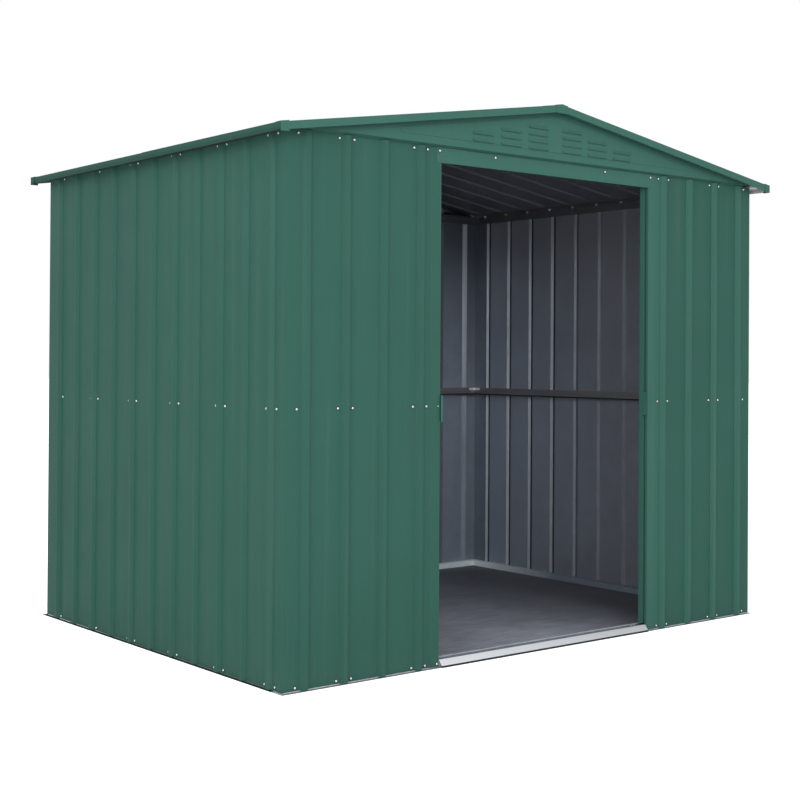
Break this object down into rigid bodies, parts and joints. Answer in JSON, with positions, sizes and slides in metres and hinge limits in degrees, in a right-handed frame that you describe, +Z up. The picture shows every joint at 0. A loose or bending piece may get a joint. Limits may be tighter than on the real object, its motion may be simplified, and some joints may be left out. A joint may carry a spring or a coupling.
{
  "type": "metal storage shed",
  "caption": "Low gable-roofed metal garden shed of lapped ribbed sheets, with louvred gables, a sill ramp and a pair of sliding doors hung from an overhead track.",
  "frame": {"origin": "middle of the footprint, on the ground under the base rails", "axes": "+X to the right seen from the front, +Y from the front to the back, +Z up; the doorway faces -Y"},
  "size_m": [2.3984, 1.8164, 1.9488],
  "materials": {
    "wall_paint": "satin green coating on steel sheet, grey inside",
    "trim_paint": "satin green coating on folded steel trim",
    "roof_paint": "satin green coating on steel sheet, grey below",
    "dark_rail": "dark grey coated steel rail",
    "zinc_rail": "hot-dip zinc on rolled steel",
    "bright_sill": "bright zinc on rolled steel",
    "floor_steel": "dull dark grey sheet with fine streaks",
    "runner_nylon": "black moulded nylon"
  },
  "bodies": {
    "root": {"front_floor_track": "zinc_rail", "back_base_rail": "zinc_rail", "left_base_rail": "zinc_rail", "right_base_rail": "zinc_rail", "door_sill": "bright_sill", "floor_sheet": "floor_steel", "left_wall_panels": "wall_paint", "right_wall_panels": "wall_paint", "back_wall_panels": "wall_paint", "front_left_corner_panel": "wall_paint", "front_right_corner_panel": "wall_paint", "back_left_corner_panel": "wall_paint", "back_right_corner_panel": "wall_paint", "front_left_panel": "wall_paint", "front_right_panel": "wall_paint", "left_jamb": "trim_paint", "right_jamb": "trim_paint", "header": "trim_paint", "front_gable": "trim_paint", "back_gable": "trim_paint", "left_mid_rail": "dark_rail", "right_mid_rail": "dark_rail", "back_mid_rail": "dark_rail", "front_left_mid_rail": "dark_rail", "front_right_mid_rail": "dark_rail", "left_top_rail": "dark_rail", "right_top_rail": "dark_rail", "back_top_rail": "dark_rail", "front_top_rail": "dark_rail", "door_top_track": "zinc_rail", "corner_brackets": "zinc_rail", "left_roof_sheets": "roof_paint", "right_roof_sheets": "roof_paint", "ridge_beam": "dark_rail", "ridge_cap": "trim_paint", "ridge_end_caps": "trim_paint", "front_verge_trims": "trim_paint", "back_verge_trims": "trim_paint", "left_eave_fascia": "trim_paint", "right_eave_fascia": "trim_paint", "eave_corner_caps": "trim_paint"},
    "left_door": {"left_door_panel": "trim_paint", "left_door_rails": "zinc_rail", "left_door_runners": "runner_nylon", "left_door_pull": "trim_paint"},
    "right_door": {"right_door_panel": "trim_paint", "right_door_rails": "zinc_rail", "right_door_runners": "runner_nylon", "right_door_pull": "trim_paint"}
  },
  "joints": [
    {"name": "left_door_slide", "type": "slide", "parent": "root", "child": "left_door", "axis": [1, 0, 0], "range_m": [0, 0.508]},
    {"name": "right_door_slide", "type": "slide", "parent": "root", "child": "right_door", "axis": [-1, 0, 0], "range_m": [0, 0.508]}
  ]
}
